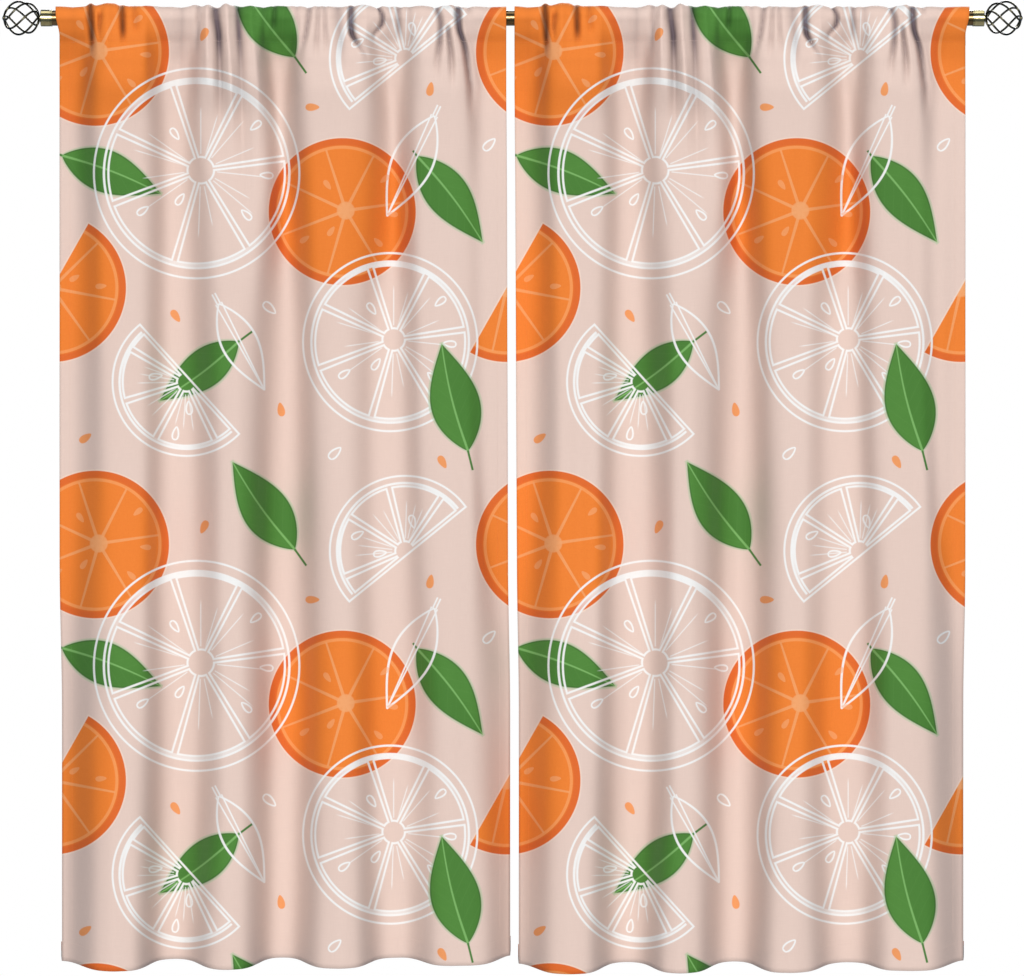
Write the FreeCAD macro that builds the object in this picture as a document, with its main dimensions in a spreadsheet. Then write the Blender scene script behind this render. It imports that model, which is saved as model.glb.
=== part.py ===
import FreeCAD, Part
import math
import os
import Sketcher
from FreeCAD import Vector, Placement, Rotation

# Pair of rod-pocket curtain panels hanging from a straight round rod.
# X runs along the rod, +X to the right of someone facing the curtains,
# -Y points at that person, +Z is up.  The origin is on the rod's axis,
# half way between the two panels.

doc = FreeCAD.newDocument("curtains_on_rod")

# ---------------------------------------------------------------- sizes (mm)
sheet = doc.addObject("Spreadsheet::Sheet", "Sizes")
SIZES = [
    # rod: 1 in steel tube
    ("rod_radius", 12.7), ("rod_wall", 1.0), ("rod_length", 1532.0),
    # moulded plug pushed into each end of the tube
    ("plug_length", 30.0), ("plug_gap", 0.02), ("plug_hole_radius", 5.0),
    # M8 nut held in the plug
    ("nut_flats", 13.0), ("nut_height", 6.5), ("nut_bore_radius", 4.05),
    ("nut_inset", 2.0), ("nut_corner_cut", 0.8),
    # collar behind each finial
    ("collar_radius", 13.9), ("collar_length", 19.2), ("collar_wall", 1.4),
    ("collar_face", 2.4), ("collar_hole_radius", 4.4), ("collar_gap", 0.1),
    ("collar_round", 0.8),
    # stud fixed in the finial
    ("stud_radius", 4.0), ("stud_reach", 31.3), ("stud_in_hub", 3.0),
    ("stud_point", 0.7),
    # open cage of twisted wires
    ("cage_half_length", 31.6), ("cage_radius", 27.9), ("wire_radius", 1.7),
    ("wire_count", 6), ("cage_twist", 160.0), ("cage_first_angle", 47.0),
    ("wire_start_inset", 3.4), ("wire_end_inset", 2.4), ("wire_end_radius", 3.9),
    ("cage_roundness", 0.72), ("cage_belly", 0.85),
    ("hub_radius", 5.8), ("hub_length", 5.4), ("hub_step", 1.2),
    ("nose_radius", 5.5), ("nose_length", 4.2), ("nose_tip", 1.0),
    # cloth panels
    ("panel_width", 746.5), ("centre_gap", 15.0), ("cloth", 0.8),
    ("pocket_radius", 14.2), ("pocket_stitch_drop", 40.0),
    ("panel_bottom", 1576.0), ("fold_depth", 40.0), ("fold_depth_top", 0.6),
    ("fold_depth_upper", 18.0), ("upper_drop", 115.0),
    ("fold_depth_mid", 31.0), ("mid_drop", 230.0), ("full_drop", 420.0),
    ("gather_gap", 0.6),
    # fold lines of each panel, measured from its left edge
    ("left_fold_a", 95.5), ("left_fold_b", 190.4), ("left_fold_c", 288.6),
    ("left_fold_d", 366.9), ("left_fold_e", 463.5), ("left_fold_f", 550.0),
    ("left_fold_g", 638.3),
    ("right_fold_a", 91.6), ("right_fold_b", 186.5), ("right_fold_c", 284.7),
    ("right_fold_d", 363.0), ("right_fold_e", 459.6), ("right_fold_f", 546.1),
    ("right_fold_g", 634.4),
]
for row, (alias, value) in enumerate(SIZES, start=1):
    sheet.set("A%d" % row, alias)
    sheet.set("B%d" % row, str(value))
    sheet.setAlias("B%d" % row, alias)
doc.recompute()


class Size:
    """A number together with the expression that gives it from the sheet."""

    def __init__(self, value, text):
        self.value, self.text = float(value), text

    @staticmethod
    def of(other):
        return other if isinstance(other, Size) else Size(other, repr(float(other)))

    def __add__(self, other):
        other = Size.of(other)
        return Size(self.value + other.value, "(%s + %s)" % (self.text, other.text))

    def __sub__(self, other):
        other = Size.of(other)
        return Size(self.value - other.value, "(%s - %s)" % (self.text, other.text))

    def __mul__(self, other):
        other = Size.of(other)
        return Size(self.value * other.value, "(%s * %s)" % (self.text, other.text))

    def __truediv__(self, other):
        other = Size.of(other)
        return Size(self.value / other.value, "(%s / %s)" % (self.text, other.text))

    def __neg__(self):
        return Size(-self.value, "(-1 * %s)" % self.text)


def size(alias):
    return Size(sheet.get(alias), "Sizes." + alias)


def number(alias):
    return float(sheet.get(alias))


# ------------------------------------------------------------ sketch helpers
def new_body(name):
    body = doc.addObject("PartDesign::Body", name)
    body.Label = name
    return body


def origin_plane(body, role):
    for feature in body.Origin.OriginFeatures:
        if feature.Role == role:
            return feature
    raise RuntimeError("no " + role)


def new_sketch(body, name, role):
    sketch = body.newObject("Sketcher::SketchObject", name)
    sketch.AttachmentSupport = (origin_plane(body, role), [""])
    sketch.MapMode = "FlatFace"
    return sketch


def pin_point(sketch, geometry, point, x, y, name):
    """Hold a point of the sketch at (x, y) measured from the origin."""
    for axis, value, kind, line in (("x", x, "DistanceX", -2), ("y", y, "DistanceY", -1)):
        value = Size.of(value)
        if abs(value.value) < 1e-9:
            sketch.addConstraint(Sketcher.Constraint("PointOnObject", geometry, point, line))
            continue
        index = sketch.addConstraint(
            Sketcher.Constraint(kind, -1, 1, geometry, point, value.value))
        sketch.renameConstraint(index, name + axis)
        sketch.setExpression("Constraints." + name + axis, value.text)


def polygon(sketch, points, prefix="p"):
    """A closed outline whose corners are all held by sizes."""
    points = [(Size.of(x), Size.of(y)) for x, y in points]
    count = len(points)
    first = sketch.GeometryCount
    for i in range(count):
        a, b = points[i], points[(i + 1) % count]
        sketch.addGeometry(Part.LineSegment(Vector(a[0].value, a[1].value, 0),
                                            Vector(b[0].value, b[1].value, 0)), False)
    for i in range(count):
        sketch.addConstraint(Sketcher.Constraint(
            "Coincident", first + i, 2, first + (i + 1) % count, 1))
    for i in range(count):
        pin_point(sketch, first + i, 1, points[i][0], points[i][1], "%s%d" % (prefix, i))


def circle(sketch, radius, name):
    index = sketch.addGeometry(
        Part.Circle(Vector(0, 0, 0), Vector(0, 0, 1), radius.value), False)
    sketch.addConstraint(Sketcher.Constraint("Coincident", index, 3, -1, 1))
    held = sketch.addConstraint(Sketcher.Constraint("Radius", index, radius.value))
    sketch.renameConstraint(held, name)
    sketch.setExpression("Constraints." + name, radius.text)


def pad(body, sketch, name, length):
    feature = body.newObject("PartDesign::Pad", name)
    feature.Profile = sketch
    feature.Length = length.value
    feature.setExpression("Length", length.text)
    return feature


def revolve(body, sketch, name):
    feature = body.newObject("PartDesign::Revolution", name)
    feature.Profile = sketch
    feature.ReferenceAxis = (sketch, ["H_Axis"])
    feature.Angle = 360.0
    return feature


def place(body, side, x):
    """Right-hand pieces stay as drawn; left-hand ones turn half round Z."""
    body.Placement = Placement(Vector(side * x.value, 0, 0),
                               Rotation(Vector(0, 0, 1), 0 if side > 0 else 180))
    body.setExpression("Placement.Base.x", x.text if side > 0 else (-x).text)


pieces = []

# ------------------------------------------------------------------ the rod
rod = new_body("rod_tube")
s = new_sketch(rod, "rod_section", "YZ_Plane")
circle(s, size("rod_radius"), "outer")
circle(s, size("rod_radius") - size("rod_wall"), "inner")
pad(rod, s, "rod_pad", size("rod_length"))
rod.setExpression("Placement.Base.x", (-(size("rod_length") / 2)).text)
rod.Placement = Placement(Vector(-number("rod_length") / 2, 0, 0), Rotation())
pieces.append(rod)

end = size("rod_length") / 2
hub_face = end + size("collar_gap") + size("collar_length")


def end_plug(side, prefix):
    """Moulded plug, flush with the tube's end, with a hexagonal seat."""
    body = new_body(prefix + "_rod_plug")
    radius = size("rod_radius") - size("rod_wall") - size("plug_gap")
    s = new_sketch(body, prefix + "_plug_outline", "XZ_Plane")
    length = size("plug_length")
    seat = size("nut_inset") + size("nut_height")
    hole = size("plug_hole_radius")
    polygon(s, [(0, hole), (length, hole), (length, radius), (6, radius),
                (5, radius - 0.5), (4, radius - 0.5), (3, radius), (1, radius),
                (0, radius - 1.0)])
    revolve(body, s, prefix + "_plug_turn")
    doc.recompute()
    # hexagonal seat that opens at the front face
    h = new_sketch(body, prefix + "_plug_seat_outline", "YZ_Plane")
    across = size("nut_flats") + 0.04
    hexagon(h, across)
    cut = body.newObject("PartDesign::Pocket", prefix + "_plug_seat")
    cut.Profile = h
    h.AttachmentOffset = Placement(Vector(0, 0, (length - seat).value), Rotation())
    h.setExpression("AttachmentOffset.Base.z", (length - seat).text)
    cut.Reversed = True
    cut.Length = seat.value + 1.0
    cut.setExpression("Length", (seat + 1.0).text)
    place(body, side, end - length)
    pieces.append(body)


def hexagon(sketch, across):
    """Regular hexagon with two flats level, all corners held by its width."""
    half = across / 2
    corner = across / math.sqrt(3.0)
    polygon(sketch, [(corner, 0), (corner / 2, half), (-(corner / 2), half),
                     (-corner, 0), (-(corner / 2), -half), (corner / 2, -half)], "h")


def plug_nut(side, prefix):
    body = new_body(prefix + "_plug_nut")
    s = new_sketch(body, prefix + "_nut_outline", "YZ_Plane")
    hexagon(s, size("nut_flats"))
    pad(body, s, prefix + "_nut_pad", size("nut_height"))
    doc.recompute()
    b = new_sketch(body, prefix + "_nut_bore_outline", "YZ_Plane")
    circle(b, size("nut_bore_radius"), "bore")
    cut = body.newObject("PartDesign::Pocket", prefix + "_nut_bore")
    cut.Profile = b
    cut.Reversed = True
    cut.Length = number("nut_height")
    cut.setExpression("Length", size("nut_height").text)
    doc.recompute()
    # the corners of the hexagon are turned off on both faces
    c = new_sketch(body, prefix + "_nut_corner_outline", "XZ_Plane")
    corner = size("nut_flats") / math.sqrt(3.0)
    flat = size("nut_flats") / 2
    polygon(c, [(0, flat + 0.1), (0, corner + 0.6),
                (size("nut_corner_cut"), corner + 0.6)], "a")
    groove = body.newObject("PartDesign::Groove", prefix + "_nut_corners")
    groove.Profile = c
    groove.ReferenceAxis = (c, ["H_Axis"])
    groove.Angle = 360.0
    place(body, side, end - size("nut_inset") - size("nut_height"))
    pieces.append(body)


def finial_collar(side, prefix):
    """Short cup: the open end butts on the tube, the face carries the cage."""
    body = new_body(prefix + "_finial_collar")
    s = new_sketch(body, prefix + "_collar_outline", "XZ_Plane")
    outer, length, wall = size("collar_radius"), size("collar_length"), size("collar_wall")
    inner, face = outer - wall, size("collar_face")
    polygon(s, [(0, inner), (length - face, inner), (length - face, size("collar_hole_radius")),
                (length, size("collar_hole_radius")),
                (length, outer - size("collar_round")),
                (length - size("collar_round"), outer),
                (3.4, outer), (3.0, outer - 0.4), (2.2, outer - 0.4), (1.8, outer),
                (0.4, outer), (0, outer - 0.4)])
    revolve(body, s, prefix + "_collar_turn")
    place(body, side, end + size("collar_gap"))
    pieces.append(body)


def finial_hub(side, prefix):
    """Neck that gathers the wires; its blind hole takes the stud."""
    body = new_body(prefix + "_finial_hub")
    s = new_sketch(body, prefix + "_hub_outline", "XZ_Plane")
    r, n, step = size("hub_radius"), size("hub_length"), size("hub_step")
    polygon(s, [(0.1, size("stud_radius")), (size("stud_in_hub"), size("stud_radius")),
                (size("stud_in_hub"), 0), (n, 0), (n, r - 1.6), (n - 0.8, r - 0.5),
                (n - 2.0, r), (step, r), (step, r + 0.6), (0.5, r + 0.6), (0.1, r + 0.2)])
    revolve(body, s, prefix + "_hub_turn")
    place(body, side, hub_face)
    pieces.append(body)


def finial_stud(side, prefix):
    """M8 stud, drawn at its outside diameter."""
    body = new_body(prefix + "_finial_stud")
    s = new_sketch(body, prefix + "_stud_outline", "XZ_Plane")
    r, reach, tip = size("stud_radius"), size("stud_reach"), size("stud_point")
    polygon(s, [(-reach, 0), (size("stud_in_hub"), 0), (size("stud_in_hub"), r),
                (tip - reach, r), (-reach, r - tip)])
    revolve(body, s, prefix + "_stud_turn")
    place(body, side, hub_face)
    pieces.append(body)


def finial_nose(side, prefix):
    """Small button where the six wires meet again."""
    body = new_body(prefix + "_finial_nose")
    s = new_sketch(body, prefix + "_nose_outline", "XZ_Plane")
    r, n, tip = size("nose_radius"), size("nose_length"), size("nose_tip")
    polygon(s, [(0, 0), (0, r - 1.4), (1.0, r), (n - 1.4, r), (n - 0.5, r - 0.8),
                (n, r - 2.2), (n + tip, 1.2), (n + tip, 0)])
    revolve(body, s, prefix + "_nose_turn")
    place(body, side, hub_face + size("cage_half_length") * 2 - size("nose_length"))
    pieces.append(body)
    return body


def cage_wires(side, prefix, keep_out):
    """Six separate round wires on an ovoid, each twisted about the rod's axis.

    The left cage is the mirror image of the right one.
    """
    start_x = hub_face.value + number("wire_start_inset")
    span = 2 * number("cage_half_length") - number("wire_start_inset") - number("wire_end_inset")
    radius, small = number("cage_radius"), number("wire_end_radius")
    twist, middle = number("cage_twist"), number("cage_first_angle")
    roundness, belly = number("cage_roundness"), number("cage_belly")
    count = int(number("wire_count"))
    steps = 14
    points = []
    for i in range(steps + 1):
        u = i / steps
        x = start_x + span * ((1 - roundness) * u
                              + roundness * (1 - math.cos(math.pi * u)) / 2)
        r = small + (radius - small) * math.sin(math.pi * u) ** belly
        turn = math.radians(middle + twist * (u - 0.5))
        # the angle is measured from the top towards the near side
        points.append(Vector(side * x, -r * math.sin(turn), r * math.cos(turn)))
    curve = Part.BSplineCurve()
    curve.interpolate(points)
    spine = Part.Wire([curve.toShape()])
    tangent = curve.tangent(curve.FirstParameter)[0]
    ring = Part.Wire([Part.Circle(points[0], tangent, number("wire_radius")).toShape()])
    wire = spine.makePipeShell([ring], True, True)
    expected = math.pi * number("wire_radius") ** 2 * curve.length()
    if abs(wire.Volume - expected) > 0.01 * expected:
        raise RuntimeError("wire volume %.1f, expected %.1f" % (wire.Volume, expected))
    solids = []
    for i in range(count):
        one = wire.copy()
        one.rotate(Vector(0, 0, 0), Vector(1, 0, 0), 360.0 * i / count)
        for other in keep_out:
            one = one.cut(other)
        # what is left inside the hub or the button is dropped
        solids.append(max(one.Solids, key=lambda solid: solid.Volume))
    feature = doc.addObject("Part::Feature", prefix + "_finial_wires")
    feature.Label = prefix + "_finial_wires"
    feature.Shape = Part.makeCompound(solids)
    pieces.append(feature)


for side, prefix in ((-1, "left"), (1, "right")):
    end_plug(side, prefix)
    plug_nut(side, prefix)
    finial_collar(side, prefix)
    finial_hub(side, prefix)
    finial_stud(side, prefix)
    finial_nose(side, prefix)
    doc.recompute()
    by_name = {p.Name: p for p in pieces}
    cage_wires(side, prefix, [by_name[prefix + "_finial_hub"].Shape,
                              by_name[prefix + "_finial_nose"].Shape])


# --------------------------------------------------------------- the panels
# Each panel is one cloth.  It is divided at its fold lines into eight
# gathers, so that the gathers can close up along the rod.
def fold_section(xa, xb, ya, yb, z):
    """Closed section of the cloth from one fold line to the next.

    The middle of the cloth is two equal arcs, level at both fold lines.
    """
    t = number("cloth") / 2
    rise = yb - ya
    s = 1.0 if rise > 0 else -1.0
    theta = 2.0 * math.atan(abs(rise) / (xb - xa))
    big = (xb - xa) / (2.0 * math.sin(theta))
    first = Vector(xa, ya + s * big, z)
    second = Vector(xb, yb - s * big, z)

    def from_first(r, angle):
        return first + Vector(r * math.sin(angle), -s * r * math.cos(angle), 0)

    def from_second(r, angle):
        return second - Vector(r * math.sin(angle), -s * r * math.cos(angle), 0)

    def arc(fn, r, a, b):
        return Part.Arc(fn(r, a), fn(r, (a + b) / 2), fn(r, b)).toShape()

    edges = [
        arc(from_first, big + t, 0.0, theta),
        arc(from_second, big - t, theta, 0.0),
        Part.LineSegment(from_second(big - t, 0.0), from_second(big + t, 0.0)).toShape(),
        arc(from_second, big + t, 0.0, theta),
        arc(from_first, big - t, theta, 0.0),
        Part.LineSegment(from_first(big - t, 0.0), from_first(big + t, 0.0)).toShape(),
    ]
    return Part.Wire(edges)


def gather(name, xa, xb, near_first):
    """Pocket round the rod, its double neck, and the cloth hanging below."""
    gap = number("gather_gap") / 2
    xa, xb = xa + gap, xb - gap
    width = xb - xa
    cloth, inner = number("cloth"), number("pocket_radius")
    levels = [
        (-(number("pocket_stitch_drop") - 8.0), number("fold_depth_top")),
        (-number("upper_drop"), number("fold_depth_upper")),
        (-number("mid_drop"), number("fold_depth_mid")),
        (-number("full_drop"), number("fold_depth")),
        (-number("panel_bottom"), number("fold_depth")),
    ]
    s = -1.0 if near_first else 1.0
    sections = [fold_section(xa, xb, s * depth, -s * depth, z) for z, depth in levels]
    drape = Part.makeLoft(sections, True, True)
    along = Vector(1, 0, 0)
    ring = Part.makeCylinder(inner + cloth, width, Vector(xa, 0, 0), along)
    neck = Part.makeBox(width, 2 * cloth, number("pocket_stitch_drop") - inner,
                        Vector(xa, -cloth, -number("pocket_stitch_drop")))
    bore = Part.makeCylinder(inner, width, Vector(xa, 0, 0), along)
    solid = ring.fuse(neck).cut(bore).fuse(drape).removeSplitter()
    feature = doc.addObject("Part::Feature", name)
    feature.Label = name
    feature.Shape = solid.Solids[0] if len(solid.Solids) == 1 else solid
    if len(solid.Solids) != 1:
        raise RuntimeError(name + " is %d solids" % len(solid.Solids))
    pieces.append(feature)


for prefix, left_edge in (
        ("left", -number("centre_gap") / 2 - number("panel_width")),
        ("right", number("centre_gap") / 2)):
    lines = [0.0] + [number("%s_fold_%s" % (prefix, k)) for k in "abcdefg"]
    lines.append(number("panel_width"))
    for i in range(8):
        # gather 1 is at the middle of the rod, gather 8 next to the finial
        order = 8 - i if prefix == "left" else i + 1
        # the edges and every second fold line lie away from the viewer
        gather("%s_panel_gather_%d" % (prefix, order),
               left_edge + lines[i], left_edge + lines[i + 1], i % 2 == 1)

# ------------------------------------------------------- check, then write
doc.recompute()
for obj in doc.Objects:
    if "Invalid" in obj.State or "Error" in obj.State:
        raise RuntimeError("%s failed: %s" % (obj.Name, obj.State))
labels = [p.Label for p in pieces]
if len(set(labels)) != len(labels):
    raise RuntimeError("labels repeat")
for piece in pieces:
    shape = piece.Shape
    if shape.isNull() or not shape.isValid() or shape.Volume <= 0:
        raise RuntimeError(piece.Label + " has no valid shape")
os.makedirs("parts", exist_ok=True)
for piece in pieces:
    piece.Shape.exportStep(os.path.join("parts", piece.Label + ".step"))
    box = piece.Shape.BoundBox
    print("%-24s solids %d volume %10.1f  x %8.2f %8.2f  y %7.2f %7.2f  z %8.2f %7.2f" % (
        piece.Label, len(piece.Shape.Solids), piece.Shape.Volume,
        box.XMin, box.XMax, box.YMin, box.YMax, box.ZMin, box.ZMax))
print("pieces", len(pieces))
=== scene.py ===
"""Two gathered curtain panels on a slim rod with wire cage finials: cloth, print, metals, light."""

import math

import bpy
import numpy as np
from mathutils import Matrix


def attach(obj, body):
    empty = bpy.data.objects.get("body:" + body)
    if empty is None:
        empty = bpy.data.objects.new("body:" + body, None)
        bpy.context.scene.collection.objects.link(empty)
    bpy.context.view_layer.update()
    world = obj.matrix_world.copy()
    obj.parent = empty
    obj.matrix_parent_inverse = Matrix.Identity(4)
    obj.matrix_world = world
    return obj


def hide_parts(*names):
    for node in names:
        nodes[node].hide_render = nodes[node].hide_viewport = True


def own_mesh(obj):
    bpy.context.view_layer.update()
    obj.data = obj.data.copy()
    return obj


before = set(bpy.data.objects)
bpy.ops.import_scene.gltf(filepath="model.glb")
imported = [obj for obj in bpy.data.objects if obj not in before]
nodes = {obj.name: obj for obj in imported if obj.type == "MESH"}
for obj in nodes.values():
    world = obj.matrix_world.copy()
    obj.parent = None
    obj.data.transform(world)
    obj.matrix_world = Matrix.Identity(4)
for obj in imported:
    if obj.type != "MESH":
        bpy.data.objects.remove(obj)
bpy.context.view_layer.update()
scene = bpy.context.scene
scene.view_settings.view_transform = "Standard"

U = 0.001665  # one print unit, in metres: the drawing on the cloth and the folds are laid out in these
AXIS_Q, AXIS_P = 512.5, 18.1  # the rod's middle and its axis in print units, q to the right and p downwards
EYE_X, EYE_Z, EYE_D = -0.0008, -0.7824, 9.0  # where the hung width is judged from
REPEAT_Q, REPEAT_P = 454.5, 492.5  # the print's repeat
CLOTH_T = 0.0005


# ---------------------------------------------------------------- camera

cam_data = bpy.data.cameras.new("front_camera")
cam_data.sensor_width = 36.0
cam_data.lens = 36.0 * EYE_D / (1024 * U)
cam_data.clip_start, cam_data.clip_end = 0.05, 60.0
camera = bpy.data.objects.new("front_camera", cam_data)
camera.location = (EYE_X, -EYE_D, EYE_Z)
camera.rotation_euler = (math.radians(90), 0, 0)
scene.collection.objects.link(camera)
scene.camera = camera


# ---------------------------------------------------------------- small helpers


def lin(r, g, b):
    """A display colour, 0 to 255, as a linear colour."""
    return tuple(
        c / 12.92 if c <= 0.04045 else ((c + 0.055) / 1.055) ** 2.4
        for c in (r / 255, g / 255, b / 255)
    ) + (1.0,)


def smooth(t):
    t = np.clip(t, 0.0, 1.0)
    return t * t * (3 - 2 * t)


def track(points, at):
    """A smooth line through (place, value) points."""
    x = np.array([p[0] for p in points], float)
    y = np.array([p[1] for p in points], float)
    slope = np.zeros(len(x))
    if len(x) > 2:
        slope[1:-1] = (y[2:] - y[:-2]) / (x[2:] - x[:-2])
    t = np.clip(np.asarray(at, float), x[0], x[-1])
    k = np.clip(np.searchsorted(x, t) - 1, 0, len(x) - 2)
    h = x[k + 1] - x[k]
    s = (t - x[k]) / h
    return (
        (2 * s**3 - 3 * s**2 + 1) * y[k]
        + (s**3 - 2 * s**2 + s) * h * slope[k]
        + (-2 * s**3 + 3 * s**2) * y[k + 1]
        + (s**3 - s**2) * h * slope[k + 1]
    )


# ---------------------------------------------------------------- node arithmetic


class Num:
    """A value in a node tree, with ordinary arithmetic."""

    def __init__(self, net, socket):
        self.net, self.socket = net, socket

    def __add__(self, o):
        return self.net.math("ADD", self, o)

    def __radd__(self, o):
        return self.net.math("ADD", o, self)

    def __sub__(self, o):
        return self.net.math("SUBTRACT", self, o)

    def __rsub__(self, o):
        return self.net.math("SUBTRACT", o, self)

    def __mul__(self, o):
        return self.net.math("MULTIPLY", self, o)

    def __rmul__(self, o):
        return self.net.math("MULTIPLY", o, self)

    def __truediv__(self, o):
        return self.net.math("DIVIDE", self, o)

    def __neg__(self):
        return self.net.math("MULTIPLY", self, -1.0)

    def __abs__(self):
        return self.net.math("ABSOLUTE", self)


class Net:
    """Makes nodes in one material's tree."""

    def __init__(self, material):
        material.use_nodes = True
        self.tree = material.node_tree
        self.tree.nodes.clear()

    def node(self, kind, **settings):
        n = self.tree.nodes.new(kind)
        for key, value in settings.items():
            setattr(n, key, value)
        return n

    def put(self, socket, value):
        if isinstance(value, Num):
            self.tree.links.new(value.socket, socket)
        else:
            socket.default_value = value

    def math(self, op, *values, clamp=False):
        n = self.node("ShaderNodeMath", operation=op, use_clamp=clamp)
        for i, v in enumerate(values):
            self.put(n.inputs[i], v)
        return Num(self, n.outputs[0])

    def least(self, a, b):
        return self.math("MINIMUM", a, b)

    def most(self, a, b):
        return self.math("MAXIMUM", a, b)

    def above(self, value, edge, soft=0.8):
        """1 where value is over edge, 0 below it, with a soft step."""
        return self.math("MULTIPLY_ADD", value - edge, 1.0 / soft, 0.5, clamp=True)

    def line(self, distance, half, soft=0.8):
        """1 within half of distance 0."""
        if isinstance(half, Num):
            return self.math("MULTIPLY_ADD", half - abs(distance), 1.0 / soft, 0.5, clamp=True)
        return self.math("MULTIPLY_ADD", abs(distance), -1.0 / soft, half / soft + 0.5, clamp=True)

    def attribute(self, name):
        n = self.node("ShaderNodeAttribute", attribute_name=name)
        parts = self.node("ShaderNodeSeparateXYZ")
        self.tree.links.new(n.outputs["Vector"], parts.inputs[0])
        return [Num(self, o) for o in parts.outputs], Num(self, n.outputs["Vector"])

    def colour(self, value):
        n = self.node("ShaderNodeRGB")
        n.outputs[0].default_value = value
        return Num(self, n.outputs[0])

    def mix(self, share, a, b, kind="MIX"):
        n = self.node("ShaderNodeMix", data_type="RGBA", blend_type=kind)
        self.put(n.inputs[0], share)
        self.put(n.inputs[6], a)
        self.put(n.inputs[7], b)
        return Num(self, n.outputs[2])

    def nearest(self, turn, angles):
        """The nearest of some directions, in turns, to a direction given in turns from -180 degrees."""
        angles = sorted(((a + 180) % 360) / 360 for a in angles)
        ramp = self.node("ShaderNodeValToRGB")
        ramp.color_ramp.interpolation = "CONSTANT"
        self.put(ramp.inputs[0], turn)
        stops = [(0.0, angles[-1] - 1 if angles[0] > 1 - angles[-1] else angles[0])]
        edges = [((a + b) / 2, b) for a, b in zip(angles, angles[1:])]
        wrap = (angles[-1] + angles[0] + 1) / 2
        if wrap < 1:
            stops = [(0.0, angles[0])] + edges + [(wrap, angles[0])]
        else:
            stops = [(0.0, angles[-1]), (wrap - 1, angles[0])] + edges
        elements = ramp.color_ramp.elements
        while len(elements) > 1:
            elements.remove(elements[-1])
        elements[0].position = 0.0
        elements[0].color = (stops[0][1],) * 3 + (1.0,)
        for place, value in stops[1:]:
            e = elements.new(place)
            e.color = (value,) * 3 + (1.0,)
        return Num(self, ramp.outputs[0])

    def noise(self, vector, scale, detail=2.0, rough=0.5, stretch=None):
        if stretch is not None:
            m = self.node("ShaderNodeMapping")
            m.inputs["Scale"].default_value = stretch
            self.put(m.inputs["Vector"], vector)
            vector = Num(self, m.outputs[0])
        n = self.node("ShaderNodeTexNoise")
        n.inputs["Scale"].default_value = scale
        n.inputs["Detail"].default_value = detail
        n.inputs["Roughness"].default_value = rough
        self.put(n.inputs["Vector"], vector)
        return Num(self, n.outputs[0])

    def position(self):
        n = self.node("ShaderNodeNewGeometry")
        return Num(self, n.outputs["Position"])

    def object_place(self):
        n = self.node("ShaderNodeTexCoord")
        return Num(self, n.outputs["Object"])

    def shader(self, colour, rough, bump=None, depth=0.0002, strength=1.0, **fixed):
        """Ends the tree in one Principled BSDF. Values in fixed are constants on its own sockets."""
        p = self.node("ShaderNodeBsdfPrincipled")
        self.put(p.inputs["Base Color"], colour)
        self.put(p.inputs["Roughness"], rough)
        for key, value in fixed.items():
            p.inputs[key.replace("_", " ")].default_value = value
        if bump is not None:
            b = self.node("ShaderNodeBump")
            b.inputs["Distance"].default_value = depth
            b.inputs["Strength"].default_value = strength
            self.put(b.inputs["Height"], bump)
            self.tree.links.new(b.outputs[0], p.inputs["Normal"])
        out = self.node("ShaderNodeOutputMaterial")
        self.tree.links.new(p.outputs[0], out.inputs[0])


# ---------------------------------------------------------------- the print: a plain citrus and leaf repeat

FULL, HALF = 1, -1
ORANGE_SLICES = [  # core q, p, radius, kind, direction of the body in degrees, anticlockwise from +q
    (98.8, 51.0, 73.8, FULL, 0),
    (345.8, 210.6, 73.5, FULL, 0),
    (52, 288, 74, HALF, -29.5),
]
WHITE_SLICES = [
    (200.8, 170.2, 103.6, FULL, 0),
    (393.7, 339.5, 88, FULL, 0),
    (186.5, 382, 74.8, HALF, -137.8),
    (405, 551, 76, HALF, 129.1),
]
LEAVES = [  # base, tip, stem length, drawn over the white, share of the full width
    ((62, 155.5), (161.1, 193.7), 4, 0, 0.87),
    ((417.2, 156.2), (482.8, 242.4), 7, 0, 0.86),
    ((468, 450.8), (441.6, 343.7), 20, 1, 0.97),
    ((238.7, 341.6), (159.6, 400.9), 17, 0, 0.85),
    ((294.8, 549.4), (232.4, 461.8), 20, 0, 0.95),
]
WHITE_LEAVES = [((434.5, 115.5), (386.8, 216.4)), ((218.6, 303.4), (264.8, 390.4))]
SPOKES = [8, 63, 108, 155, 201, 254, 301]
HALF_SPOKES = [-73, -25, 19, 74]
HAIRS = [-78, -40, -30, -6, 23, 49, 73, 90, 145, 163, 188, 215, 268]
HALF_HAIRS = [-62, -52, -41, -11, 2, 33, 44, 56]
SLICE_SEEDS = [(-0.25, 0.35), (0.53, 0.43), (0.635, -0.05), (0.44, -0.43), (-0.20, -0.28), (-0.56, -0.39)]
LOOSE_SEEDS = [  # q, p, direction of the point, kind
    (312.4, 107.2, 0, 1),
    (175.7, 316, -55, 1),
    (85.4, 438, 35, 1),
    (204, 527, 245, 1),
    (281, 409.5, 100, 1),
    (442.5, 462, -60, 1),
    (430.3, 581.5, 80, 1),
    (489.4, 144.4, 45, 2),
    (269.6, 308, -42, 2),
    (335, 453, 43, 2),
    (155.6, 376.4, 10, 4),
    (189.1, 407.9, 95, 4),
    (175.7, 433.3, 80, 4),
    (412.5, 521.6, -75, 4),
    (357.6, 535, 30, 4),
    (380, 553.5, 10, 4),
    (74.5, 278, 30, 3),
    (101, 286.2, 5, 3),
]


def tiled(q, p):
    """Where a motif of the repeat falls on the cloth."""
    return [
        (q + i * REPEAT_Q, p + j * REPEAT_P)
        for i in (-1, 0, 1)
        for j in (-1, 0, 1, 2)
        if -80 < q + i * REPEAT_Q < 640 and -120 < p + j * REPEAT_P < 1120
    ]


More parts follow.
